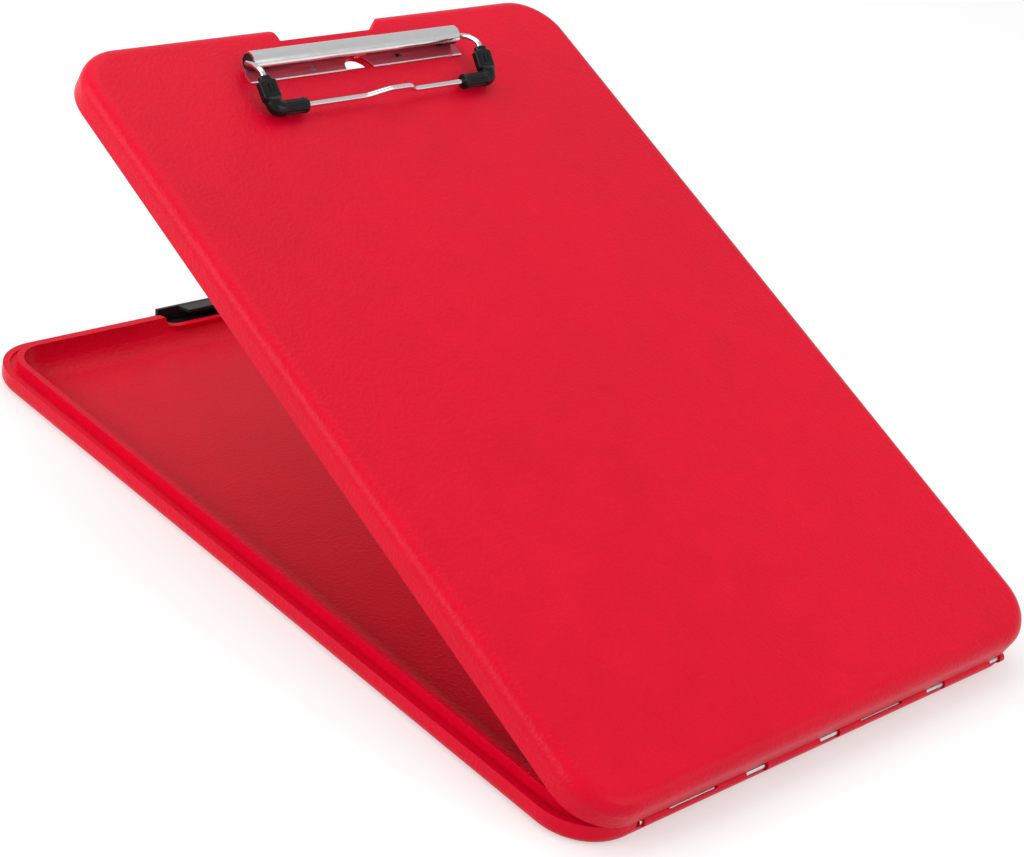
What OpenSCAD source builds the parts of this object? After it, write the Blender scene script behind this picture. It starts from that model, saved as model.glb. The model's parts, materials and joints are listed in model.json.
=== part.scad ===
// Storage clipboard box: a shallow tray and a deeper lid joined by a steel hinge
// rod, a flip-up latch at the far end, and a low sprung wire clip on the lid.
// The hinge runs along X at the front, the tray lies flat on Z = 0, and the lid
// is raised by lid_rest degrees. Lid pieces are drawn shut, then turned open.

/* [Body] */
// Outer width of the tray and the lid
body_w = 241.3; // [228:0.1:300]
// Outer length of the tray and the lid
body_l = 342.9; // [250:0.1:450]
// Radius of the corners seen from above
corner_r = 21; // [20:0.1:28]
// How far the lid is raised at rest, in degrees
lid_rest = 22; // [10:1:60]

/* [Tray] */
// Height of the tray's outer rim
rim_h = 8; // [7.8:0.1:9]
// Thickness of the tray's floor
floor_t = 2; // [1.5:0.1:2.4]
// Radius of the tray's lower outer edge
foot_r = 4; // [2:0.1:4.5]
// Width of the ledge that carries the lid
ledge_w = 5.3; // [5:0.1:6]
// Height of the raised lip above the rim
lip_h = 3.1; // [2.6:0.1:4]
// Thickness of the raised lip
lip_t = 2; // [1.6:0.1:2.2]
// Depth of the drain groove between the rim and the lip
groove_d = 0.8; // [0.4:0.1:1.2]
// Width of the flat land outside the groove
land_w = 2.6; // [2.3:0.1:3]

/* [Lid] */
// Height of the lid
lid_h = 12; // [11:0.1:18]
// Thickness of the lid's top
lid_top_t = 2.2; // [1.6:0.1:2.6]
// Thickness of the lid's side walls
lid_wall = 2.2; // [1.8:0.1:2.3]
// Radius of the lid's upper edge
lid_edge_r = 5.8; // [3:0.1:6]
// Gap between the closed lid and the rim
rim_gap = 0.3; // [0.2:0.05:0.5]
// Width of the finger notch in the lid's far edge
notch_w = 53; // [40:1:60]
// Depth of the finger notch
notch_d = 8.7; // [8:0.1:9]
// Radius of the notch's outer corners
notch_r = 4.5; // [3:0.1:6]
// Radius of the half-round hanging hole
hang_r = 5.9; // [5:0.1:5.9]

/* [Hinge] */
// Diameter of the steel hinge rod
rod_d = 2; // [1.8:0.1:2.3]
// Outer radius of the hinge knuckles
knuckle_r = 1.9; // [1.8:0.05:2]
// Clearance radius that the tray leaves round the lid's knuckles
relief_r = 2.3; // [2.25:0.05:2.5]
// Distance from the front face back to the hinge axis
axis_in = 0.5; // [0.4:0.05:0.7]
// Height of the hinge axis
axis_h = 5.4; // [5.2:0.1:5.6]
// Running clearance between the rod and the bores, on the radius
rod_fit = 0.06; // [0.03:0.01:0.1]
// Length of each tray knuckle
tray_knuckle_l = 50; // [46:0.1:50.4]
// Length of each lid knuckle
lid_knuckle_l = 28; // [24:0.1:28.4]
// Distance between the two knuckles of one half
knuckle_pitch = 99.8; // [99:0.1:100]

/* [Latch] */
// Width of the latch
latch_w = 71.6; // [60:0.1:76]
// Thickness of the latch's plate
latch_t = 1.5; // [1.2:0.1:1.6]
// Height of the latch's top edge when it is upright
latch_top = 11; // [10.9:0.1:11.6]
// Depth of the recess in the tray's far wall
recess_d = 9; // [8.6:0.1:9.5]
// Radius of the recess's inner corners
recess_r = 5; // [3:0.1:5]
// Gap between each end of the latch and the recess
latch_gap = 0.6; // [0.4:0.1:0.8]
// Radius of the latch's side pins
trunnion_r = 1.6; // [1.2:0.1:1.7]
// Length of each side pin
trunnion_l = 2.4; // [2:0.1:3]
// Height of the latch's pivot
latch_pivot_h = 3.4; // [3.2:0.1:3.6]
// How far the latch is swung out at rest, in degrees
latch_rest = 12; // [8:1:14]

/* [Clip] */
// Width of the clip's flat plate
plate_w = 107.4; // [104:0.1:110]
// Width of the clip's rolled hood
hood_w = 104.6; // [98:0.1:105]
// Thickness of the clip's sheet steel
sheet_t = 0.8; // [0.6:0.1:1]
// Outer radius of the rolled hood
hood_r = 4.2; // [4:0.1:4.4]
// Distance from the lid's far edge to the hood's centre line
hood_in = 21.1; // [20.5:0.1:21.5]
// Distance from the lid's far edge to the plate's front edge
plate_in = 28.4; // [28.2:0.1:29.5]
// Radius of the half-round notch in the plate's front edge
plate_notch_r = 7; // [6.9:0.1:7]
// Diameter of the wire bail
wire_d = 2.2; // [2:0.1:2.4]
// Distance between the bail's front corners
bail_w = 109; // [108:0.1:111]
// Distance from the hood's centre line forward to the bail's front bar
bail_reach = 23.9; // [23:0.1:26]
// Height of the bail's front bar above the lid
bar_h = 3.7; // [3.7:0.1:4.2]
// Radius of a rubber grip's sleeve
sleeve_r = 2.9; // [2.5:0.1:3]
// Radius of a rubber grip's elbow
elbow_r = 3.4; // [3.2:0.1:3.4]
// Length of a rubber grip along the front bar
grip_l = 14.5; // [12:0.1:18]
// Distance between the clip's two rivets
rivet_pitch = 44; // [30:1:50]
// Diameter of a rivet's shank
rivet_d = 3; // [2.5:0.1:3.4]

/* [Hidden] */
$fn = 64;
body_red = [0.86, 0.05, 0.14];
overcut = 1;

front_y = -body_l / 2;
far_y = body_l / 2;
axis_y = front_y + axis_in;
rod_r = rod_d / 2;
wire_r = wire_d / 2;

lip_top = rim_h + lip_h;
groove_w = ledge_w - land_w;
inner_in = ledge_w + lip_t;
cove_r = corner_r - inner_in - 0.7;
lid_bottom = rim_h + rim_gap;
lid_top = lid_bottom + lid_h;

// Hinge zones along X: the tray's and the lid's knuckles alternate
hinge_gap_l = 11;
end_gap_l = 6.8;
end_knuckle_l = 2.4;
knuckle_gap = 0.4;
rod_gap = 0.5;
tray_knuckle_x = -93;
lid_knuckle_x = tray_knuckle_x + tray_knuckle_l + hinge_gap_l;
end_knuckle_x = lid_knuckle_x + knuckle_pitch + lid_knuckle_l + end_gap_l;
slot_w = 23.3;
slot_h = 0.9;
slot_tilt = 50;
slot_shift = -1.3;
rod_left = tray_knuckle_x - 1.5;
rod_right = end_knuckle_x + 1.4;

// Latch, drawn upright, then swung out round its pivot
recess_w = latch_w + 2 * latch_gap;
pivot_y = far_y - 3.85;
latch_out = 0.4;
plate_in_y = far_y + latch_out - latch_t;
foot_back = 1.6;
foot_low = 1.8;
foot_top = 5.4;
plate_low = 4.4;
boss_t = 2.4;
trunnion_fit = 0.06;
window_gap = 0.6;
window_d = latch_t - latch_out + 0.3;
catch_z = lid_bottom + 0.1;
catch_h = 1;
catch_d = 0.6;
catch_w = 48;
bead_gap = 0.3;
bead_h = 1.2;
bead_w = 50;

// Clip, in the shut lid's frame
hood_y = far_y - hood_in;
hood_z = lid_top + hood_r;
hood_in_r = hood_r - sheet_t;
hood_lip_deg = 165;
tab_deg = 190;
tab_w = 5;
bushing_l = 8;
bushing_fit = 0.05;
wire_fit = 0.05;
bushing_x = hood_w / 2 - 0.5;
rivet_y = far_y - 25;
rivet_head_r = 2.4;
rivet_head_h = 0.9;
rivet_fit = 0.05;
washer_r = 4;
washer_t = 0.8;

// Corners of the bail's left half, as offsets from the hood's centre line: out, forward, up
bail_inner_x = 28;
bail_path = [
    [bail_inner_x, 0, 0],
    [hood_w / 2 + 1.1, 0, 0],
    [hood_w / 2 + 2.4, -5, 4],
    [hood_w / 2 + 2.9, -10.2, 5.9],
    [bail_w / 2, -bail_reach, bar_h - hood_r]
];
bump_x = [-10, 1, 11.5, 14];
bump_h = 2.3;
ball_extra = 0.06;
grip_top_in = 2;

// A rounded slab from z0 to z1: its edge profile is carried round the plan outline
module rounded_slab(w, l, r, z0, z1) {
    for (i = [0 : 3]) {
        sx = (i == 0 || i == 3) ? 1 : -1;
        sy = (i < 2) ? 1 : -1;
        translate([sx * (w / 2 - r), sy * (l / 2 - r), 0]) rotate([0, 0, 90 * i])
            rotate_extrude(angle = 90) children();
    }
    for (a = [0, 180]) rotate([0, 0, a]) {
        translate([w / 2 - r, l / 2 - r, 0]) rotate([90, 0, 0]) linear_extrude(l - 2 * r) children();
        translate([-(w / 2 - r), l / 2 - r, 0]) rotate([90, 0, 90]) linear_extrude(w - 2 * r) children();
    }
    translate([-(w / 2 - r), -(l / 2 - r), z0]) cube([w - 2 * r, l - 2 * r, z1 - z0]);
}

// Edge profile of a slab with a rounded lower edge, from its corner centre out
module foot_profile(out, top, edge) {
    square([out - edge, top]);
    translate([0, edge]) square([out, top - edge]);
    translate([out - edge, edge]) circle(edge);
}

// Edge profile of a slab with a rounded upper edge between z0 and z1
module crown_profile(out, z0, z1, edge) {
    translate([0, z0]) square([out - edge, z1 - z0]);
    translate([0, z0]) square([out, z1 - z0 - edge]);
    translate([out - edge, z1 - edge]) circle(edge);
}

// Plan shape cut into the far edge, its outer corners rounded by r
module notch_plan(w, d, r) {
    translate([-w / 2, -d]) square([w, d + overcut]);
    for (s = [-1, 1]) difference() {
        translate([s > 0 ? w / 2 : -w / 2 - r, -r]) square([r, r + overcut]);
        translate([s * (w / 2 + r), -r]) circle(r);
    }
}

// Plan shape of a pocket behind the far edge, its inner corners rounded by r
module pocket_plan(w, d, r) {
    translate([-w / 2, -d + r]) square([w, d - r + overcut]);
    translate([-w / 2 + r, -d]) square([w - 2 * r, d]);
    for (s = [-1, 1]) translate([s * (w / 2 - r), -d + r]) circle(r);
}

// A cylinder along X round the hinge axis
module along_hinge(x0, x1, r) {
    translate([x0, axis_y, axis_h]) rotate([0, 90, 0]) cylinder(h = x1 - x0, r = r);
}

// Turns what is drawn shut to the lid's rest position
module raise_lid() {
    translate([0, axis_y, axis_h]) rotate([lid_rest, 0, 0]) translate([0, -axis_y, -axis_h]) children();
}

// Opens the tray's front rim round the hinge axis from x0 to x1, as far back as back
module rim_cut(x0, x1, r, back) {
    along_hinge(x0, x1, r);
    translate([x0, axis_y - 2 * relief_r, axis_h]) cube([x1 - x0, 2 * relief_r + back, rim_h]);
}

// Room for the lid's two knuckles, and narrower slots where the rod is bare
module hinge_cuts() {
    bare_r = rod_r + rod_gap;
    rim_cut(tray_knuckle_x + tray_knuckle_l, tray_knuckle_x + knuckle_pitch, bare_r, bare_r);
    rim_cut(tray_knuckle_x + knuckle_pitch + tray_knuckle_l, end_knuckle_x, bare_r, bare_r);
    for (i = [0, 1]) {
        x = lid_knuckle_x + i * knuckle_pitch;
        rim_cut(x - knuckle_gap, x + lid_knuckle_l + knuckle_gap, relief_r, lid_wall - axis_in + knuckle_gap);
    }
    along_hinge(rod_left - 1, tray_knuckle_x, bare_r);
}

module tray_shell() {
    difference() {
        union() {
            rounded_slab(body_w, body_l, corner_r, 0, rim_h)
                foot_profile(corner_r, rim_h, foot_r);
            rounded_slab(body_w - 2 * ledge_w, body_l - 2 * ledge_w, corner_r - ledge_w, rim_h - groove_d, lip_top)
                translate([0, rim_h - groove_d]) square([corner_r - ledge_w, lip_h + groove_d]);
        }
        tray_cavity();
    }
}

// The room inside the tray, with a large cove where walls and floor meet; the
// wall round the latch's recess stops at the rim's height
module tray_cavity() {
    cavity_r = corner_r - inner_in;
    difference() {
        rounded_slab(body_w - 2 * inner_in, body_l - 2 * inner_in, cavity_r, floor_t, lip_top + overcut)
            intersection() {
                union() {
                    translate([0, floor_t]) square([cavity_r - cove_r, lip_top + overcut - floor_t]);
                    translate([cavity_r - cove_r, floor_t + cove_r]) circle(cove_r);
                }
                translate([0, floor_t]) square([cavity_r, lip_top + overcut - floor_t]);
            }
        translate([0, far_y, 0]) linear_extrude(rim_h)
            pocket_plan(recess_w + 2 * boss_t, recess_d + boss_t, recess_r + boss_t);
    }
}

// The groove round the lip's foot, on the ledge
module ledge_groove() {
    difference() {
        rounded_slab(body_w - 2 * land_w, body_l - 2 * land_w, corner_r - land_w, rim_h - groove_d, rim_h)
            translate([0, rim_h - groove_d]) square([corner_r - land_w, groove_d]);
        rounded_slab(body_w - 2 * ledge_w, body_l - 2 * ledge_w, corner_r - ledge_w,
                     rim_h - groove_d - overcut, rim_h + overcut)
            translate([0, rim_h - groove_d - overcut]) square([corner_r - ledge_w, groove_d + 2 * overcut]);
    }
}

module base_tray() {
    color(body_red) difference() {
        union() {
            difference() {
                tray_shell();
                ledge_groove();
                hinge_cuts();
            }
            for (i = [0, 1])
                along_hinge(tray_knuckle_x + i * knuckle_pitch,
                            tray_knuckle_x + i * knuckle_pitch + tray_knuckle_l, knuckle_r);
            along_hinge(end_knuckle_x, end_knuckle_x + end_knuckle_l, knuckle_r);
        }
        for (i = [0, 1]) knuckle_slot(tray_knuckle_x + i * knuckle_pitch + tray_knuckle_l / 2 + slot_shift);
        along_hinge(tray_knuckle_x - overcut, rod_right + 0.3, rod_r + rod_fit);
        translate([0, far_y, -overcut]) linear_extrude(lip_top + 2 * overcut)
            pocket_plan(recess_w, recess_d, recess_r);
        translate([0, far_y, rim_h]) linear_extrude(lip_h + overcut)
            pocket_plan(recess_w + 2 * boss_t, recess_d + boss_t, recess_r + boss_t);
        for (s = [-1, 1]) latch_bore(s);
    }
}

// Slot through the outer side of a tray knuckle, down to the rod
module knuckle_slot(x) {
    translate([x - slot_w / 2, axis_y, axis_h]) rotate([-slot_tilt, 0, 0])
        translate([0, -relief_r, -slot_h / 2]) cube([slot_w, relief_r, slot_h]);
}

// Blind bore in one side of the recess for a latch pin
module latch_bore(s) {
    depth = trunnion_l + 0.6;
    translate([s * recess_w / 2 - (s > 0 ? overcut : depth), pivot_y, latch_pivot_h]) rotate([0, 90, 0])
        cylinder(h = depth + overcut, r = trunnion_r + trunnion_fit);
}

module lid() {
    color(body_red) raise_lid() difference() {
        union() {
            lid_shell();
            for (i = [0, 1]) lid_knuckle(lid_knuckle_x + i * knuckle_pitch);
            translate([-catch_w / 2, far_y - notch_d - lid_wall / 2, catch_z])
                cube([catch_w, lid_wall / 2 + catch_d, catch_h]);
        }
        along_hinge(lid_knuckle_x - overcut, end_knuckle_x, rod_r + rod_fit);
        latch_window();
        hanging_hole();
        for (s = [-1, 1]) rivet_hole(s);
    }
}

// Knuckle from x to the right, on a neck that hangs from the lid's front wall
module lid_knuckle(x) {
    along_hinge(x, x + lid_knuckle_l, knuckle_r);
    translate([x, front_y, axis_h]) cube([lid_knuckle_l, lid_wall, lid_bottom + lid_wall - axis_h]);
}

module lid_shell() {
    cavity_top = lid_top - lid_top_t;
    difference() {
        rounded_slab(body_w, body_l, corner_r, lid_bottom, lid_top)
            crown_profile(corner_r, lid_bottom, lid_top, lid_edge_r);
        difference() {
            rounded_slab(body_w - 2 * lid_wall, body_l - 2 * lid_wall, corner_r - lid_wall,
                         lid_bottom - overcut, cavity_top)
                crown_profile(corner_r - lid_wall, lid_bottom - overcut, cavity_top, lid_edge_r - lid_wall);
            translate([0, far_y, lid_bottom - 2 * overcut]) linear_extrude(lid_h) {
                notch_plan(notch_w + 2 * lid_wall, notch_d + lid_wall, notch_r - lid_wall);
                translate([-recess_w / 2 - lid_wall, -window_d - lid_wall])
                    square([recess_w + 2 * lid_wall, window_d + lid_wall]);
            }
        }
        translate([0, far_y, lid_bottom - overcut]) linear_extrude(lid_h + 2 * overcut)
            notch_plan(notch_w, notch_d, notch_r);
    }
}

// Shallow step in the lid's far wall, into which the latch closes
module latch_window() {
    translate([-recess_w / 2, far_y - window_d, lid_bottom - overcut])
        cube([recess_w, window_d + overcut, latch_top + window_gap - lid_bottom + overcut]);
}

module hanging_hole() {
    translate([0, far_y - plate_in + 0.8, lid_top - lid_top_t - overcut]) linear_extrude(lid_top_t + 2 * overcut)
        intersection() {
            circle(hang_r);
            translate([-hang_r, 0]) square([2 * hang_r, hang_r]);
        }
}

module rivet_hole(s) {
    translate([s * rivet_pitch / 2, rivet_y, lid_top - lid_top_t - overcut])
        cylinder(h = lid_top_t + sheet_t + 2 * overcut, r = rivet_d / 2 + rivet_fit);
}

module hinge_rod() {
    ring_x = tray_knuckle_x + knuckle_pitch + tray_knuckle_l + 8.2;
    color("lightgray") {
        along_hinge(rod_left, rod_right, rod_r);
        for (i = [0 : 2]) along_hinge(ring_x + 0.9 * i, ring_x + 0.9 * i + 0.5, rod_r + 0.2);
    }
}

module latch() {
    bead_z = catch_z + catch_h + bead_gap;
    bead_d = plate_in_y - (far_y - notch_d + 0.2);
    color([0.05, 0.05, 0.05])
    translate([0, pivot_y, latch_pivot_h]) rotate([-latch_rest, 0, 0]) translate([0, -pivot_y, -latch_pivot_h]) {
        translate([-latch_w / 2, plate_in_y, plate_low]) cube([latch_w, latch_t, latch_top - plate_low]);
        translate([-latch_w / 2, pivot_y - foot_back, foot_low])
            cube([latch_w, plate_in_y - pivot_y + foot_back, foot_top - foot_low]);
        translate([-bead_w / 2, plate_in_y - bead_d, bead_z]) cube([bead_w, bead_d + latch_t / 2, bead_h]);
        for (s = [-1, 1]) translate([s * latch_w / 2 - (s > 0 ? 1 : trunnion_l), pivot_y, latch_pivot_h])
            rotate([0, 90, 0]) cylinder(h = trunnion_l + 1, r = trunnion_r);
    }
}

// Cross-section of the rolled hood up to its lip, in the plane across the clip
module hood_section(lip_deg) {
    reach = 4 * hood_r;
    difference() {
        circle(hood_r);
        circle(hood_in_r);
        polygon([[0, 0], [reach * cos(lip_deg), reach * sin(lip_deg)], [-reach, -reach], [0, -reach]]);
    }
}

// Places a section drawn in (y, z) across the clip, w wide
module across_clip(w) {
    translate([-w / 2, hood_y, hood_z]) rotate([90, 0, 90]) linear_extrude(w) children();
}

module clip_plate() {
    color([0.82, 0.82, 0.84]) raise_lid() difference() {
        union() {
            across_clip(hood_w) hood_section(hood_lip_deg);
            across_clip(tab_w) hood_section(tab_deg);
            translate([-plate_w / 2, far_y - plate_in, lid_top]) cube([plate_w, plate_in - hood_in, sheet_t]);
        }
        translate([0, far_y - plate_in, lid_top - overcut])
            cylinder(h = sheet_t + 2 * overcut, r = plate_notch_r);
        for (s = [-1, 1]) rivet_hole(s);
    }
}

// Rivets headed under the lid, their upper ends flush with the plate
module clip_rivets() {
    head_z = lid_top - lid_top_t - washer_t - rivet_head_h;
    color("silver") raise_lid() for (s = [-1, 1]) translate([s * rivet_pitch / 2, rivet_y, head_z]) {
        cylinder(h = lid_top + sheet_t - head_z, r = rivet_d / 2);
        cylinder(h = rivet_head_h, r = rivet_head_r);
    }
}

module rivet_washers() {
    color("gainsboro") raise_lid() for (s = [-1, 1])
        translate([s * rivet_pitch / 2, rivet_y, lid_top - lid_top_t - washer_t]) difference() {
            cylinder(h = washer_t, r = washer_r);
            translate([0, 0, -overcut]) cylinder(h = washer_t + 2 * overcut, r = rivet_d / 2 + rivet_fit);
        }
}

// Plug in one end of the hood, in which the bail turns; s is -1 left, 1 right
module bushing(s) {
    color([0.07, 0.07, 0.07]) raise_lid()
    translate([s > 0 ? bushing_x - bushing_l : -bushing_x, hood_y, hood_z]) rotate([0, 90, 0]) difference() {
        cylinder(h = bushing_l, r = hood_in_r - bushing_fit);
        translate([0, 0, -overcut]) cylinder(h = bushing_l + 2 * overcut, r = wire_r + wire_fit);
    }
}

// A point of the bail's path, on the side s
function bail_point(i, s) = [s * bail_path[i][0], hood_y + bail_path[i][1], hood_z + bail_path[i][2]];

function unit(v) = v / norm(v);

// Stands what is drawn up the Z axis at the point a, pointing along d
module aim(a, d) {
    translate(a) rotate([0, acos(d[2] / norm(d)), atan2(d[1], d[0])]) children();
}

// Round bar of radius r through the points p, with a slightly fuller ball at each inner point
module bent_bar(p, r, ball_r) {
    for (i = [1 : len(p) - 1]) aim(p[i - 1], p[i] - p[i - 1]) cylinder(h = norm(p[i] - p[i - 1]), r = r);
    for (i = [1 : len(p) - 2]) aim(p[i], p[i + 1] - p[i - 1]) sphere(ball_r);
}

bar_y = hood_y - bail_reach;
bar_z = lid_top + bar_h;
bump_points = [
    [bump_x[0], bar_y, bar_z],
    [bump_x[1], bar_y, bar_z + bump_h],
    [bump_x[2], bar_y, bar_z + bump_h],
    [bump_x[3], bar_y, bar_z]
];

module wire_bail() {
    color([0.85, 0.85, 0.87]) raise_lid() {
        for (s = [-1, 1]) {
            leg = [for (i = [4 : -1 : 0]) bail_point(i, s)];
            bent_bar(leg, wire_r, wire_r + ball_extra);
            translate(leg[0]) sphere(wire_r + ball_extra);
        }
        bent_bar(concat([bail_point(4, -1)], bump_points, [bail_point(4, 1)]), wire_r, wire_r + ball_extra);
    }
}

// Rubber corner: a sleeve on the leg and one on the bar, joined by an elbow
module grip(s) {
    elbow = bail_point(4, s);
    shoulder = bail_point(3, s);
    along_leg = unit(elbow - shoulder);
    top = shoulder + along_leg * grip_top_in;
    bar_end = elbow - [s * grip_l, 0, 0];
    color([0.04, 0.04, 0.04]) raise_lid() difference() {
        bent_bar([top, elbow, bar_end], sleeve_r, elbow_r);
        bent_bar([top - along_leg, elbow, bar_end - [s * overcut, 0, 0]],
                 wire_r + wire_fit, wire_r + ball_extra + wire_fit);
    }
}

base_tray();
lid();
hinge_rod();
latch();
clip_plate();
clip_rivets();
rivet_washers();
bushing(-1);  // left_bushing
bushing(1);  // right_bushing
wire_bail();
grip(-1);  // left_grip
grip(1);  // right_grip
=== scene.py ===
"""Looks of a storage clipboard box: a red moulded tray and lid on a steel hinge rod, a black
flip latch, and a low plated clip whose wire has rubber corner grips.

Lengths in this file are millimetres until a mesh is made. Pieces of the clip are worked out
with the lid shut, as (across, along, up) from the lid's far edge and top face, and are then
turned open with the lid."""

import json
import math

import bpy
import numpy as np
from mathutils import Matrix, Vector


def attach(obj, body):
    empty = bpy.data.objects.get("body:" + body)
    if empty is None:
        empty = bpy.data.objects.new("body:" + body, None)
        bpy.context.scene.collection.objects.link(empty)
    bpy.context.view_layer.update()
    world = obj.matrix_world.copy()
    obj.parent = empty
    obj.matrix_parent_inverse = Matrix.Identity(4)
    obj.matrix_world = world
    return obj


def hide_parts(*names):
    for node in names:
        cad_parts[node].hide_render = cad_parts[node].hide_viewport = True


bl_info = {
    "name": "Storage clipboard box looks",
    "version": (1, 0, 0),
    "blender": (4, 5, 0),
    "location": "View3D > Sidebar > Clipboard",
    "description": "Surfaces and finishes for a hinged storage clipboard with a low wire clip",
    "category": "Object",
}

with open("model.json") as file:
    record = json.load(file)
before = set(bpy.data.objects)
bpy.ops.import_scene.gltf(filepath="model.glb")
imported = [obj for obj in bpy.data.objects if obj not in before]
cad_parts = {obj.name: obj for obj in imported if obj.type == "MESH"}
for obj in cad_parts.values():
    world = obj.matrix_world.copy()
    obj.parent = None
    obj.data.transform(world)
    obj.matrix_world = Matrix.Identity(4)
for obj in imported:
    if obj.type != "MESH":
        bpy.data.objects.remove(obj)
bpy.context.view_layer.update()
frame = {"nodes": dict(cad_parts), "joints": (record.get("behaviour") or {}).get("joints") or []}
HINGE = next(j for j in frame["joints"] if j["name"] == "lid_hinge")

MM = 0.001
# The lid's far edge and top face with the lid shut, and its angle at rest
FAR_EDGE = 171.45
LID_TOP = 20.3
LID_REST = math.radians(22.0)
# The hood's centre, in from the far edge, its outer radius and its half length
HOOD_IN = 21.1
HOOD_R = 4.19
HOOD_HALF = 52.3
# Degrees round the hood from straight down to its lip, and what the middle tab adds to them
LIP_TURN = 261.0
TAB_TURN = 22.0
# The plate's front edge, in from the far edge, its half length and its notch
PLATE_IN = 28.4
PLATE_HALF = 53.7
NOTCH_R = 7.0
# The bail's front bar: its height, its reach from the hood's centre, its bump and its corner
BAR_UP = 3.7
BAIL_REACH = 23.9
BUMP_UP = 2.3
ELBOW = (54.5, -BAIL_REACH - HOOD_IN, BAR_UP)
WIRE_STEP = 0.4
# The rubber corner: the middle of its top end, and its length along the front bar
GRIP_TOP = (55.11, -12.01 - HOOD_IN, 5.05 + HOOD_R)
GRIP_LENGTH = 14.5
GRAIN_SCALE = 760.0
# Strength of the light all round, which the camera sees as 1, and of the floor's own light
WORLD_LIGHT = 0.62
FLOOR_GLOW = 0.42
SENSOR_MM = 36.0
IMAGE_PX = 1024.0


def smooth_step(x, low, high):
    """0 below low, 1 above high, and the cubic 3t^2 - 2t^3 between them."""
    t = np.clip((x - low) / (high - low), 0.0, 1.0)
    return t * t * (3.0 - 2.0 * t)


def raise_lid(points):
    """Turns points drawn with the lid shut about the hinge axis to the lid's rest angle.
    Points are (across, from the far edge, above the lid's top) in mm; the result is in metres."""
    pivot = HINGE["pos_m"]
    y = (FAR_EDGE + points[..., 1]) * MM - pivot[1]
    z = (LID_TOP + points[..., 2]) * MM - pivot[2]
    cos, sin = math.cos(LID_REST), math.sin(LID_REST)
    turned_y = pivot[1] + y * cos - z * sin
    turned_z = pivot[2] + y * sin + z * cos
    return np.stack([points[..., 0] * MM, turned_y, turned_z], -1)


def add_mesh(name, points, faces, material, body, sharp=35.0):
    """Makes a piece from faces and points in metres, smooth but for edges over sharp degrees."""
    mesh = bpy.data.meshes.new(name)
    mesh.from_pydata(points.reshape(-1, 3).tolist(), [], faces)
    mesh.polygons.foreach_set("use_smooth", np.ones(len(mesh.polygons), bool))
    mesh.set_sharp_from_angle(angle=math.radians(sharp))
    mesh.update()
    mesh.validate()
    piece = bpy.data.objects.new(name, mesh)
    bpy.context.scene.collection.objects.link(piece)
    piece.data.materials.append(material)
    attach(piece, body)
    return piece


def signed_volume(points, quads):
    """Six times the volume inside a closed quad mesh, positive where its faces point outwards."""
    p = points.reshape(-1, 3) - points.reshape(-1, 3).mean(0)
    a, b, c, d = (p[quads[:, i]] for i in range(4))
    return float((np.cross(a, b) * c).sum() + (np.cross(a, c) * d).sum())


def tube(rings):
    """Faces that join (rings, points) into a closed tube, with a flat cap at each end."""
    n, m = rings.shape[:2]
    row = np.arange(n - 1)[:, None] * m
    here = np.arange(m)
    after = (here + 1) % m
    quads = np.stack([row + here, row + after, row + m + after, row + m + here], -1).reshape(-1, 4)
    first, last = here[::-1], (n - 1) * m + here
    if signed_volume(rings, quads) < 0:
        quads, first, last = quads[:, ::-1], first[::-1], last[::-1]
    return quads.tolist() + [first.tolist(), last.tolist()]


def bent_path(corners, step, soften):
    """Walks straight from corner to corner in equal steps, then takes a moving average twice over
    the length soften, which turns each corner into a round bend and leaves the straights alone."""
    corners = np.asarray(corners, float)
    run = np.concatenate([[0.0], np.cumsum(np.linalg.norm(np.diff(corners, axis=0), axis=1))])
    s = np.linspace(0.0, run[-1], int(run[-1] / step) + 1)
    path = np.stack([np.interp(s, run, corners[:, i]) for i in range(3)], -1)
    width = max(int(soften / step) // 2 * 2 + 1, 3)
    kernel = np.ones(width) / width
    for _ in range(2):
        before = 2 * path[0] - path[width:0:-1]
        beyond = 2 * path[-1] - path[-2:-width - 2:-1]
        padded = np.concatenate([before, path, beyond])
        mean = [np.convolve(padded[:, i], kernel, "same") for i in range(3)]
        path = np.stack(mean, -1)[width:-width]
    return path, s


def frames(path):
    """At each point of a path: the side (tangent x lid normal) and the up (side x tangent)."""
    tangent = np.gradient(path, axis=0)
    tangent /= np.linalg.norm(tangent, axis=1, keepdims=True)
    side = np.cross(tangent, [0.0, 0.0, 1.0])
    side /= np.linalg.norm(side, axis=1, keepdims=True)
    return side, np.cross(side, tangent)


def sweep(path, reach_side, reach_up):
    """Carries a section along a path: each ring is path + side * reach_side + up * reach_up,
    with both reaches given as (rings, points) arrays."""
    side, up = frames(path)
    sideways = side[:, None] * reach_side[..., None]
    return path[:, None] + sideways + up[:, None] * reach_up[..., None]


# ---------------------------------------------------------------- materials

def node_group(name, inputs, outputs):
    """An empty shader group with the sockets given; returns it with its input and output nodes."""
    group = bpy.data.node_groups.new(name, "ShaderNodeTree")
    for label, kind, default in inputs:
        socket = group.interface.new_socket(name=label, in_out="INPUT", socket_type=kind)
        if default is not None:
            socket.default_value = default
    for label, kind in outputs:
        group.interface.new_socket(name=label, in_out="OUTPUT", socket_type=kind)
    return group, group.nodes.new("NodeGroupInput"), group.nodes.new("NodeGroupOutput")


def link(tree, source, target):
    tree.links.new(source, target)


def math_node(tree, operation, a, b=None, clamp=False):
    """A Math node whose inputs are sockets or numbers; returns its output socket."""
    node = tree.nodes.new("ShaderNodeMath")
    node.operation = operation
    node.use_clamp = clamp
    for index, value in enumerate((a, b)):
        if value is None:
            continue
        if isinstance(value, (int, float)):
            node.inputs[index].default_value = value
        else:
            link(tree, value, node.inputs[index])
    return node.outputs[0]


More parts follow.
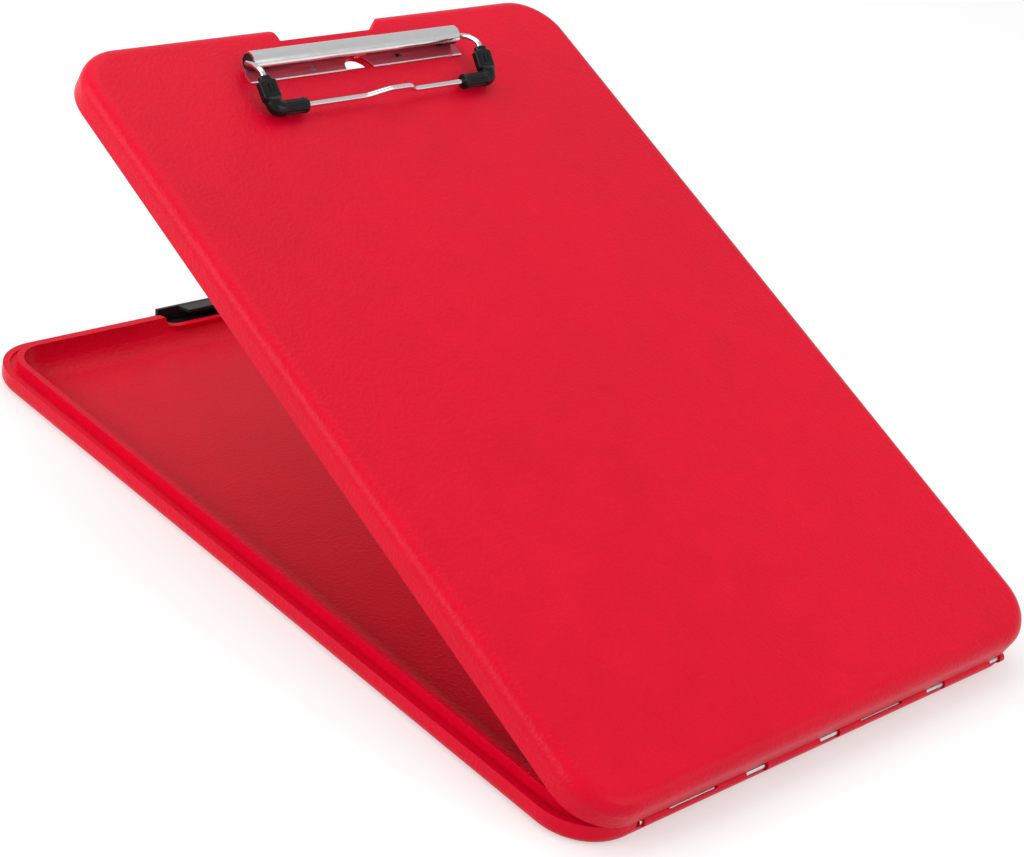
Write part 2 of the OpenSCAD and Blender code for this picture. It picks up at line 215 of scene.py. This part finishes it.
def noise(tree, vector, scale, detail, roughness=0.5):
    """A Noise texture read at vector; returns its Fac socket."""
    node = tree.nodes.new("ShaderNodeTexNoise")
    node.inputs["Detail"].default_value = detail
    node.inputs["Roughness"].default_value = roughness
    if isinstance(scale, (int, float)):
        node.inputs["Scale"].default_value = scale
    else:
        link(tree, scale, node.inputs["Scale"])
    link(tree, vector, node.inputs["Vector"])
    return node.outputs["Fac"]


def ramp(tree, value, low, high, out_low=0.0, out_high=1.0):
    """Maps value from low..high to out_low..out_high, held at both ends."""
    node = tree.nodes.new("ShaderNodeMapRange")
    node.inputs["From Min"].default_value = low
    node.inputs["From Max"].default_value = high
    node.inputs["To Min"].default_value = out_low
    node.inputs["To Max"].default_value = out_high
    link(tree, value, node.inputs["Value"])
    return node.outputs["Result"]


def moulded_grain_group():
    """Spark-eroded mould grain: fine pebbles, a slowly varying tone and a mask of faint scuffs."""
    name = "Moulded grain"
    if name in bpy.data.node_groups:
        return bpy.data.node_groups[name]
    group, given, out = node_group(
        name,
        [("Vector", "NodeSocketVector", None), ("Grain Scale", "NodeSocketFloat", 900.0)],
        [("Height", "NodeSocketFloat"), ("Tone", "NodeSocketFloat"), ("Scuff", "NodeSocketFloat")],
    )
    where = given.outputs["Vector"]
    cells = group.nodes.new("ShaderNodeTexVoronoi")
    cells.feature = "SMOOTH_F1"
    cells.inputs["Smoothness"].default_value = 0.8
    link(group, where, cells.inputs["Vector"])
    scale = given.outputs["Grain Scale"]
    link(group, scale, cells.inputs["Scale"])
    fine = noise(group, where, math_node(group, "MULTIPLY", scale, 2.1), 3.0, 0.6)
    pebbles = math_node(group, "MULTIPLY", cells.outputs["Distance"], 0.7)
    height = math_node(group, "ADD", pebbles, math_node(group, "MULTIPLY", fine, 0.5))
    link(group, height, out.inputs["Height"])
    slow = noise(group, where, 9.0, 3.0)
    middle = noise(group, where, 70.0, 4.0, 0.6)
    most, rest = math_node(group, "MULTIPLY", slow, 0.6), math_node(group, "MULTIPLY", middle, 0.4)
    tone = math_node(group, "ADD", most, rest)
    link(group, tone, out.inputs["Tone"])
    stretched = group.nodes.new("ShaderNodeMapping")
    stretched.inputs["Scale"].default_value = (260.0, 9.0, 30.0)
    stretched.inputs["Rotation"].default_value = (0.0, 0.0, 0.5)
    link(group, where, stretched.inputs["Vector"])
    streaks = noise(group, stretched.outputs["Vector"], 1.0, 5.0, 0.65)
    patches = noise(group, where, 16.0, 2.0)
    marks, areas = ramp(group, streaks, 0.62, 0.78), ramp(group, patches, 0.5, 0.7)
    scuff = math_node(group, "MULTIPLY", marks, areas)
    link(group, scuff, out.inputs["Scuff"])
    return group


def drawn_metal_group():
    """Drawing lines along X on plated metal, with a mask of faint handling haze."""
    name = "Drawn metal"
    if name in bpy.data.node_groups:
        return bpy.data.node_groups[name]
    group, given, out = node_group(
        name,
        [("Vector", "NodeSocketVector", None)],
        [("Height", "NodeSocketFloat"), ("Haze", "NodeSocketFloat")],
    )
    where = given.outputs["Vector"]
    lines = group.nodes.new("ShaderNodeMapping")
    lines.inputs["Scale"].default_value = (14.0, 1500.0, 1500.0)
    link(group, where, lines.inputs["Vector"])
    link(group, noise(group, lines.outputs["Vector"], 1.0, 4.0, 0.6), out.inputs["Height"])
    haze = noise(group, where, 120.0, 5.0, 0.65)
    link(group, ramp(group, haze, 0.42, 0.72), out.inputs["Haze"])
    return group


def material(name):
    """A new node material; returns it with its tree, Principled shader and Object coordinates."""
    made = bpy.data.materials.new(name)
    made.use_nodes = True
    tree = made.node_tree
    shader = tree.nodes["Principled BSDF"]
    coordinates = tree.nodes.new("ShaderNodeTexCoord").outputs["Object"]
    return made, tree, shader, coordinates


def place_group(tree, group, coordinates):
    node = tree.nodes.new("ShaderNodeGroup")
    node.node_tree = group
    link(tree, coordinates, node.inputs["Vector"])
    return node


def bump(tree, height, distance, strength, shader):
    """Feeds a height through a Bump node to the shader's Normal; distance is in metres."""
    node = tree.nodes.new("ShaderNodeBump")
    node.inputs["Distance"].default_value = distance
    node.inputs["Strength"].default_value = strength
    link(tree, height, node.inputs["Height"])
    link(tree, node.outputs["Normal"], shader.inputs["Normal"])


def mix_colour(tree, factor, a, b):
    """A Mix node between two colours, blended by a socket; returns its colour socket."""
    node = tree.nodes.new("ShaderNodeMix")
    node.data_type = "RGBA"
    link(tree, factor, node.inputs[0])
    node.inputs[6].default_value = (*a, 1.0)
    node.inputs[7].default_value = (*b, 1.0)
    return node.outputs[2]


def shaded(colour, factor):
    return tuple(c * factor for c in colour)


def shell_material(name, props, grain):
    """Grained plastic, coloured through, with faint scuffs and slightly uneven gloss."""
    made, tree, shader, where = material(name)
    worked = place_group(tree, moulded_grain_group(), where)
    worked.inputs["Grain Scale"].default_value = grain
    colour = tuple(props.body_colour)
    tone = worked.outputs["Tone"]
    dark, light = shaded(colour, 0.93), shaded(colour, 1.05)
    shade = mix_colour(tree, ramp(tree, tone, 0.35, 0.65), dark, light)
    link(tree, shade, shader.inputs["Base Color"])
    uneven = ramp(tree, tone, 0.3, 0.7, props.roughness - 0.03, props.roughness + 0.04)
    rubbed = math_node(tree, "MULTIPLY", worked.outputs["Scuff"], -0.08)
    rough = math_node(tree, "ADD", uneven, rubbed)
    link(tree, rough, shader.inputs["Roughness"])
    shader.inputs["Specular IOR Level"].default_value = 0.13
    bump(tree, worked.outputs["Height"], props.grain_depth, 0.6, shader)
    return made


def black_plastic_material():
    """Satin black moulding with a fine grain and slightly uneven gloss."""
    made, tree, shader, where = material("Black plastic")
    worked = place_group(tree, moulded_grain_group(), where)
    worked.inputs["Grain Scale"].default_value = 1400.0
    dark, light = (0.012, 0.012, 0.013), (0.022, 0.022, 0.024)
    shade = mix_colour(tree, ramp(tree, worked.outputs["Tone"], 0.35, 0.65), dark, light)
    link(tree, shade, shader.inputs["Base Color"])
    link(tree, ramp(tree, worked.outputs["Tone"], 0.3, 0.7, 0.32, 0.42), shader.inputs["Roughness"])
    shader.inputs["Specular IOR Level"].default_value = 0.15
    bump(tree, worked.outputs["Height"], 0.00004, 0.4, shader)
    return made


def rubber_material():
    """Moulded rubber: near black, with a tone and a soft sheen that vary slowly."""
    made, tree, shader, where = material("Grip rubber")
    worked = place_group(tree, moulded_grain_group(), where)
    worked.inputs["Grain Scale"].default_value = 1800.0
    dark, light = (0.004, 0.004, 0.004), (0.010, 0.010, 0.011)
    shade = mix_colour(tree, ramp(tree, worked.outputs["Tone"], 0.3, 0.7), dark, light)
    link(tree, shade, shader.inputs["Base Color"])
    link(tree, ramp(tree, worked.outputs["Tone"], 0.3, 0.7, 0.24, 0.32), shader.inputs["Roughness"])
    shader.inputs["Specular IOR Level"].default_value = 0.22
    bump(tree, worked.outputs["Height"], 0.00003, 0.35, shader)
    return made


def metal_material(name, colour, low, high, line_depth):
    """Bright metal with drawing lines, its roughness rising from low to high with haze."""
    made, tree, shader, where = material(name)
    worked = place_group(tree, drawn_metal_group(), where)
    shader.inputs["Metallic"].default_value = 1.0
    tone = mix_colour(tree, worked.outputs["Haze"], colour, shaded(colour, 0.93))
    link(tree, tone, shader.inputs["Base Color"])
    link(tree, ramp(tree, worked.outputs["Haze"], 0.0, 1.0, low, high), shader.inputs["Roughness"])
    bump(tree, worked.outputs["Height"], line_depth, 0.3, shader)
    return made


def paint_reflection_by_attribute(made, attribute, colour, metallic):
    """Paints a reflection into a metal: blends it towards a tinted, duller one where a vertex
    attribute rises from 0 to 1.
    """
    tree = made.node_tree
    shader = tree.nodes["Principled BSDF"]
    mask = tree.nodes.new("ShaderNodeAttribute")
    mask.attribute_name = attribute
    blend = mix_colour(tree, mask.outputs["Fac"], (0.0, 0.0, 0.0), colour)
    link(tree, shader.inputs["Base Color"].links[0].from_socket, blend.node.inputs[6])
    link(tree, blend, shader.inputs["Base Color"])
    link(tree, ramp(tree, mask.outputs["Fac"], 0.0, 1.0, 1.0, metallic), shader.inputs["Metallic"])


def finish_node(node, made):
    """Gives a CAD node's object a material in each of its slots."""
    piece = frame["nodes"][node]
    if not piece.material_slots:
        piece.data.materials.append(made)
    for slot in piece.material_slots:
        slot.material = made


# ---------------------------------------------------------------- settings

class ShellSettings(bpy.types.PropertyGroup):
    """The moulded tray and lid."""
    body_colour: bpy.props.FloatVectorProperty(
        name="Body colour", description="Colour of the plastic, scene linear",
        default=(0.72, 0.0006, 0.024), size=3, min=0.0, max=1.0, subtype="COLOR")
    roughness: bpy.props.FloatProperty(
        name="Roughness", description="How matte the moulded surface is",
        default=0.36, min=0.0, max=1.0, subtype="FACTOR")
    grain_depth: bpy.props.FloatProperty(
        name="Grain depth", description="Depth of the mould grain",
        default=0.00035, min=0.0, max=0.001, precision=5, unit="LENGTH")


class ClipSettings(bpy.types.PropertyGroup):
    """The plated clip and its wire."""
    metal_colour: bpy.props.FloatVectorProperty(
        name="Plating colour", description="Colour of the bright plating, scene linear",
        default=(0.80, 0.80, 0.81), size=3, min=0.0, max=1.0, subtype="COLOR")
    sheet: bpy.props.FloatProperty(
        name="Sheet thickness", description="Thickness of the clip's sheet in millimetres",
        default=0.8, min=0.5, max=1.0)
    wire_radius: bpy.props.FloatProperty(
        name="Wire radius", description="Radius of the bail's wire in millimetres",
        default=1.1, min=1.0, max=1.2)
    bend_length: bpy.props.FloatProperty(
        name="Bend length", description="Length of wire that each bend takes, in millimetres",
        default=3.0, min=1.0, max=6.0)


class GripSettings(bpy.types.PropertyGroup):
    """The rubber corners on the bail."""
    ribs: bpy.props.IntProperty(
        name="Ribs", description="Ribs round the sleeve on the front bar",
        default=9, min=4, max=16)
    rib_depth: bpy.props.FloatProperty(
        name="Rib depth", description="Depth of the ribs in millimetres",
        default=0.42, min=0.0, max=0.8)


class StageSettings(bpy.types.PropertyGroup):
    """Floor, lamps and camera."""
    key_power: bpy.props.FloatProperty(
        name="Key power", description="Power of the large lamp overhead",
        default=5.5, min=0.0, max=200.0, unit="POWER")
    fill_power: bpy.props.FloatProperty(
        name="Fill power", description="Power of the lamp at the front",
        default=6.0, min=0.0, max=200.0, unit="POWER")
    side_power: bpy.props.FloatProperty(
        name="Side power", description="Power of the lamp at -X, which lights the tray's inside",
        default=8.0, min=0.0, max=200.0, unit="POWER")
    floor_tone: bpy.props.FloatVectorProperty(
        name="Floor colour", description="Colour of the floor, scene linear",
        default=(0.62, 0.62, 0.62), size=3, min=0.0, max=1.0, subtype="COLOR")


# ---------------------------------------------------------------- pieces

class CLIPBOARD_OT_shell(bpy.types.Operator):
    """Finish the tray and the lid in grained red plastic"""
    bl_idname = "clipboard.shell"
    bl_label = "Tray and lid"

    def execute(self, context):
        props = context.scene.clipboard_shell
        finish_node("lid", shell_material("Lid plastic", props, GRAIN_SCALE))
        finish_node("base_tray", shell_material("Tray plastic", props, GRAIN_SCALE))
        return {"FINISHED"}


class CLIPBOARD_OT_hardware(bpy.types.Operator):
    """Finish the rod, rivets and washers in plain steel, and the bushings and latch in black"""
    bl_idname = "clipboard.hardware"
    bl_label = "Rod, rivets, bushings and latch"

    def execute(self, context):
        steel = metal_material("Plain steel", (0.66, 0.66, 0.67), 0.22, 0.36, 0.00002)
        for node in ("hinge_rod", "clip_rivets", "rivet_washers"):
            finish_node(node, steel)
        black = black_plastic_material()
        for node in ("left_bushing", "right_bushing", "latch"):
            finish_node(node, black)
        return {"FINISHED"}


def rolled_sheet(settings):
    """The clip's sheet as rings across it. Its centre line runs from the front edge back along the
    lid, then round a circle of the hood's radius less half the sheet, from straight down through
    back and top to the lip. Each ring goes out along the outer face and back along the inner one,
    and the distance between the faces follows a half circle at both edges, so they are round.
    The front edge steps back by sqrt(R^2 - x^2) inside the notch, and the lip is longer in the
    middle."""
    half = settings.sheet / 2
    turn_r = HOOD_R - half
    flat = PLATE_IN - HOOD_IN
    outside = np.linspace(NOTCH_R, HOOD_HALF, 40)
    inside = NOTCH_R * np.cos(np.linspace(math.pi, 0.0, 81))
    x = np.concatenate([-outside[::-1], inside[1:-1], outside])
    start = np.sqrt(np.maximum(NOTCH_R**2 - x * x, 0.0))
    in_tab = 1.0 - smooth_step(np.abs(x), 2.2, 2.7)
    lip_turn = math.radians(LIP_TURN) + math.radians(TAB_TURN) * in_tab
    length = flat + turn_r * lip_turn
    edge = half * (1.0 - np.cos(np.linspace(0.0, math.pi / 2, 6)))
    body = np.linspace(0.0, 1.0, 72)
    span = length - start
    s = start[:, None] + half + (span - 2 * half)[:, None] * body
    low = start[:, None] + edge[:-1]
    high = (length[:, None] - edge[:-1])[:, ::-1]
    s = np.concatenate([low, s, high], 1)
    near = np.minimum(s - start[:, None], length[:, None] - s)
    offset = np.sqrt(np.maximum(half**2 - np.maximum(half - near, 0.0) ** 2, 0.0))
    angle = np.maximum(s - flat, 0.0) / turn_r - math.pi / 2
    along = np.where(s < flat, -PLATE_IN + s, -HOOD_IN + turn_r * np.cos(angle))
    up = np.where(s < flat, half, HOOD_R + turn_r * np.sin(angle))
    out_y = np.where(s < flat, 0.0, np.cos(angle))
    out_z = np.where(s < flat, -1.0, np.sin(angle))
    wider = (PLATE_HALF - HOOD_HALF) / HOOD_HALF
    widening = wider * smooth_step(np.abs(x), 20.0, HOOD_HALF)[:, None]
    across = x[:, None] * (1.0 + widening * (1.0 - smooth_step(s, flat * 0.55, flat)))
    outer = np.stack([across, along + out_y * offset, up + out_z * offset], -1)
    inner = np.stack([across, along - out_y * offset, up - out_z * offset], -1)
    return np.concatenate([outer, inner[:, ::-1]], 1)


def sheet_faces(rings):
    """Faces of a bent sheet: quads between rings, and a strip at each end that joins its sides."""
    n, m = rings.shape[:2]
    faces = np.array(tube(rings)[:-2])
    i = np.arange(m // 2 - 1)
    strip = np.stack([i, i + 1, m - 2 - i, m - 1 - i], -1)
    caps = np.concatenate([strip[:, ::-1], strip + (n - 1) * m])
    whole = np.concatenate([faces, caps])
    flipped = np.concatenate([faces, caps[:, ::-1]])
    outward = signed_volume(rings, whole) > signed_volume(rings, flipped)
    return (whole if outward else flipped).tolist()


class CLIPBOARD_OT_clip(bpy.types.Operator):
    """Roll the clip from one sheet: plate, notch and hood"""
    bl_idname = "clipboard.clip"
    bl_label = "Rolled clip"

    def execute(self, context):
        settings = context.scene.clipboard_clip
        rings = rolled_sheet(settings)
        plating = metal_material("Clip plating", tuple(settings.metal_colour), 0.14, 0.24, 0.00001)
        # The flat plate gets a painted reflection: muted red and less metallic, standing in for the
        # red lid mirrored in it.
        paint_reflection_by_attribute(plating, "plate", (0.62, 0.07, 0.11), 0.35)
        faces = sheet_faces(rings)
        piece = add_mesh("rolled_clip", raise_lid(rings), faces, plating, "lid")
        # Marks the flat plate, where the red reflection is painted.
        _, y, z = rings.reshape(-1, 3).T
        painted_reflection_area = (y < -HOOD_IN) & (z < settings.sheet + 0.05) & (y > 0.5 - PLATE_IN)
        plate = piece.data.attributes.new("plate", "FLOAT", "POINT")
        plate.data.foreach_set("value", painted_reflection_area.astype(np.float32))
        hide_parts("clip_plate")
        return {"FINISHED"}


def bail_corners():
    """Corners of the wire from the left inner end round to the right one, with the finger bump."""
    bar = BAR_UP - HOOD_R
    half = [(28.0, 0.0, 0.0), (53.4, 0.0, 0.0), (54.7, -5.0, 4.0), (55.2, -10.2, 5.9),
            (ELBOW[0], -BAIL_REACH, bar)]
    bump = [(-10.0, -BAIL_REACH, bar), (1.0, -BAIL_REACH, bar + BUMP_UP),
            (11.5, -BAIL_REACH, bar + BUMP_UP), (14.0, -BAIL_REACH, bar)]
    left = [(-x, y, z) for x, y, z in half]
    points = np.array(left + bump + half[::-1])
    return points + [0.0, -HOOD_IN, HOOD_R]


class CLIPBOARD_OT_wire(bpy.types.Operator):
    """Bend the bail from one round wire"""
    bl_idname = "clipboard.wire"
    bl_label = "Wire bail"

    def execute(self, context):
        settings = context.scene.clipboard_clip
        path, _ = bent_path(bail_corners(), WIRE_STEP, settings.bend_length)
        count = 28
        around = np.linspace(0.0, 2 * math.pi, count, endpoint=False)
        index = np.arange(len(path))
        ends = np.minimum(index, index[::-1]) * WIRE_STEP
        radius = settings.wire_radius - 0.35 * (1.0 - smooth_step(ends, 0.0, 0.8))
        rings = sweep(path, radius[:, None] * np.cos(around), radius[:, None] * np.sin(around))
        plating = metal_material("Wire plating", tuple(settings.metal_colour), 0.1, 0.2, 0.000005)
        faces = tube(rings)
        piece = add_mesh("bent_wire", raise_lid(rings), faces, plating, "bail")
        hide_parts("wire_bail")
        return {"FINISHED"}


def grip_rings(side, settings):
    """A rubber corner as a section carried along the wire from its top end, round the elbow, to its
    end on the front bar. The section's radius at the angle a is a superellipse,
    (|cos a / w|^p + |sin a / h|^p)^(-1/p), whose width w, height h and power p change along the
    path: flat and flanged on the leg, round at the elbow, and ribbed by a cosine round the bar."""
    top = np.array(GRIP_TOP)
    elbow = np.array(ELBOW)
    end = elbow - [GRIP_LENGTH, 0.0, 0.0]
    path, s = bent_path([top, elbow, end], 0.15, 3.6)
    total = s[-1]
    leg = np.linalg.norm(elbow - top)
    around = np.linspace(0.0, 2 * math.pi, 120, endpoint=False)
    on_leg = 1.0 - smooth_step(s, leg - 4.6, leg - 2.8)
    on_bar = smooth_step(s, leg + 2.6, leg + 4.2)
    flange = on_leg * smooth_step(s, 1.6, 2.6)
    at_elbow = (1.0 - on_leg) * (1.0 - on_bar)
    width = 2.7 + 1.4 * flange + 0.5 * at_elbow + 0.15 * on_bar
    height = 2.3 - 0.3 * flange + 0.9 * at_elbow + 0.55 * on_bar
    power = 2.0 + 2.2 * flange
    collar = on_bar * (1.0 - smooth_step(total - s, 1.6, 2.2))
    cos, sin = np.abs(np.cos(around)), np.abs(np.sin(around))
    w, h, p = width[:, None], height[:, None], power[:, None]
    radius = ((cos / w) ** p + (sin / h) ** p) ** (-1.0 / p)
    ribs = np.clip(0.5 + 1.1 * np.cos(settings.ribs * around + 0.4), 0.0, 1.0) - 1.0
    ribbed = on_bar * (1.0 - collar)
    left, right = ((around - math.pi / 2 + shift) / 0.13 for shift in (0.42, -0.42))
    groove = np.exp(-(left**2)) + np.exp(-(right**2))
    grooved = flange * smooth_step(s, 2.8, 3.6) * (1.0 - smooth_step(s, leg - 6.2, leg - 5.0))
    radius = radius + settings.rib_depth * ribs * ribbed[:, None]
    radius = radius - 0.55 * groove * grooved[:, None]
    radius = radius + 0.2 * collar[:, None]
    rounding = 0.75
    near_end = 1.0 - np.clip(np.minimum(s, total - s) / rounding, 0.0, 1.0)
    rounded = rounding * (1.0 - np.sqrt(np.maximum(1.0 - near_end**2, 0.0)))
    radius = radius - rounded[:, None]
    rings = sweep(path, radius * np.cos(around), radius * np.sin(around))
    return rings * [side, 1.0, 1.0]


class CLIPBOARD_OT_grips(bpy.types.Operator):
    """Mould the two rubber corners on the bail"""
    bl_idname = "clipboard.grips"
    bl_label = "Corner grips"

    def execute(self, context):
        rubber = rubber_material()
        for side, node in ((-1.0, "left_grip"), (1.0, "right_grip")):
            rings = grip_rings(side, context.scene.clipboard_grip)
            name, faces = node + "_rubber", tube(rings)
            piece = add_mesh(name, raise_lid(rings), faces, rubber, "bail", 50.0)
            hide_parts(node)
        return {"FINISHED"}


# ---------------------------------------------------------------- stage

def lamp(name, place, aim, size, power):
    """A rectangular area lamp at place that faces aim, both in metres."""
    data = bpy.data.lights.new(name, "AREA")
    data.shape = "RECTANGLE"
    data.size, data.size_y = size
    data.energy = power
    made = bpy.data.objects.new(name, data)
    bpy.context.scene.collection.objects.link(made)
    towards = Vector(aim) - Vector(place)
    facing = towards.to_track_quat("-Z", "Y").to_matrix().to_4x4()
    made.matrix_world = Matrix.Translation(place) @ facing


def floor_material(tone):
    """Pale floor that scatters light and keeps shadows, with a little of its own light for the
    camera and for reflections, so that it reaches white where nothing shades it."""
    made = bpy.data.materials.new("Studio floor")
    made.use_nodes = True
    tree = made.node_tree
    tree.nodes.clear()
    diffuse = tree.nodes.new("ShaderNodeBsdfDiffuse")
    diffuse.inputs["Color"].default_value = (*tone, 1.0)
    glow = tree.nodes.new("ShaderNodeEmission")
    path = tree.nodes.new("ShaderNodeLightPath")
    seen = math_node(tree, "MAXIMUM", path.outputs["Is Camera Ray"], path.outputs["Is Glossy Ray"])
    link(tree, math_node(tree, "MULTIPLY", seen, FLOOR_GLOW), glow.inputs["Strength"])
    both = tree.nodes.new("ShaderNodeAddShader")
    link(tree, diffuse.outputs[0], both.inputs[0])
    link(tree, glow.outputs[0], both.inputs[1])
    out = tree.nodes.new("ShaderNodeOutputMaterial")
    link(tree, both.outputs[0], out.inputs["Surface"])
    return made


def studio_world():
    """Even grey-white light from all round, white to the camera and through clear things."""
    world = bpy.data.worlds.new("Studio")
    bpy.context.scene.world = world
    world.use_nodes = True
    tree = world.node_tree
    tree.nodes.clear()
    light = tree.nodes.new("ShaderNodeBackground")
    light.inputs["Color"].default_value = (1.0, 1.0, 1.0, 1.0)
    rays = tree.nodes.new("ShaderNodeLightPath").outputs
    seen = math_node(tree, "MAXIMUM", rays["Is Camera Ray"], rays["Is Transmission Ray"])
    extra = math_node(tree, "MULTIPLY", seen, 1.0 - WORLD_LIGHT)
    strength = math_node(tree, "ADD", WORLD_LIGHT, extra)
    link(tree, strength, light.inputs["Strength"])
    out = tree.nodes.new("ShaderNodeOutputWorld")
    link(tree, light.outputs[0], out.inputs["Surface"])


def camera():
    """A camera with no shift, set by heading, pitch and roll in degrees and its place in mm."""
    focal, heading, pitch, roll = 2430.14, 49.261, 27.947, 12.628
    place = (-617.02, -532.95, 469.88)
    a, b, c = (math.radians(v) for v in (heading, pitch, roll))
    ahead = np.array([math.sin(a) * math.cos(b), math.cos(a) * math.cos(b), -math.sin(b)])
    right = np.array([math.cos(a), -math.sin(a), 0.0])
    up = np.cross(right, ahead)
    right, up = math.cos(c) * right + math.sin(c) * up, -math.sin(c) * right + math.cos(c) * up
    data = bpy.data.cameras.new("Camera")
    data.sensor_fit = "HORIZONTAL"
    data.sensor_width = SENSOR_MM
    data.lens = focal * SENSOR_MM / IMAGE_PX
    data.clip_start, data.clip_end = 0.01, 50.0
    made = bpy.data.objects.new("Camera", data)
    bpy.context.scene.collection.objects.link(made)
    turn = Matrix(np.column_stack([right, up, -ahead]).tolist()).to_4x4()
    made.matrix_world = Matrix.Translation([v * MM for v in place]) @ turn
    bpy.context.scene.camera = made


class CLIPBOARD_OT_stage(bpy.types.Operator):
    """Set the floor, the lamps, the surrounding light and the camera"""
    bl_idname = "clipboard.stage"
    bl_label = "Stage"

    def execute(self, context):
        settings = context.scene.clipboard_stage
        mesh = bpy.data.meshes.new("Floor")
        mesh.from_pydata([(-6, -6, 0), (6, -6, 0), (6, 6, 0), (-6, 6, 0)], [], [(0, 1, 2, 3)])
        mesh.materials.append(floor_material(tuple(settings.floor_tone)))
        floor = bpy.data.objects.new("Floor", mesh)
        context.scene.collection.objects.link(floor)
        lamp("Key lamp", (0.05, 0.45, 1.3), (0.0, 0.0, 0.05), (1.3, 1.1), settings.key_power)
        lamp("Side lamp", (-1.05, 0.45, 0.5), (0.0, 0.0, 0.02), (1.2, 0.5), settings.side_power)
        lamp("Fill lamp", (0.35, -1.3, 0.7), (0.0, 0.0, 0.05), (1.2, 0.8), settings.fill_power)
        studio_world()
        camera()
        context.scene.view_settings.view_transform = "Standard"
        return {"FINISHED"}


class CLIPBOARD_PT_panel(bpy.types.Panel):
    """Lists the pieces of the storage clipboard box"""
    bl_label = "Storage clipboard box"
    bl_idname = "CLIPBOARD_PT_panel"
    bl_space_type = "VIEW_3D"
    bl_region_type = "UI"
    bl_category = "Clipboard"

    def draw(self, context):
        for group, _ in SETTINGS:
            settings = getattr(context.scene, group)
            box = self.layout.box()
            for name in settings.__annotations__:
                box.prop(settings, name)
        for operator in OPERATORS:
            self.layout.operator(operator.bl_idname)


SETTINGS = (
    ("clipboard_shell", ShellSettings),
    ("clipboard_clip", ClipSettings),
    ("clipboard_grip", GripSettings),
    ("clipboard_stage", StageSettings),
)
OPERATORS = (
    CLIPBOARD_OT_shell,
    CLIPBOARD_OT_hardware,
    CLIPBOARD_OT_clip,
    CLIPBOARD_OT_wire,
    CLIPBOARD_OT_grips,
    CLIPBOARD_OT_stage,
)


def register():
    for name, group in SETTINGS:
        bpy.utils.register_class(group)
        setattr(bpy.types.Scene, name, bpy.props.PointerProperty(type=group))
    for cls in (*OPERATORS, CLIPBOARD_PT_panel):
        bpy.utils.register_class(cls)


def unregister():
    for cls in (CLIPBOARD_PT_panel, *reversed(OPERATORS)):
        bpy.utils.unregister_class(cls)
    for name, group in reversed(SETTINGS):
        delattr(bpy.types.Scene, name)
        bpy.utils.unregister_class(group)


def main():
    register()
    for operator in OPERATORS:
        group, name = operator.bl_idname.split(".")
        getattr(getattr(bpy.ops, group), name)()


if __name__ == "__main__":
    main()
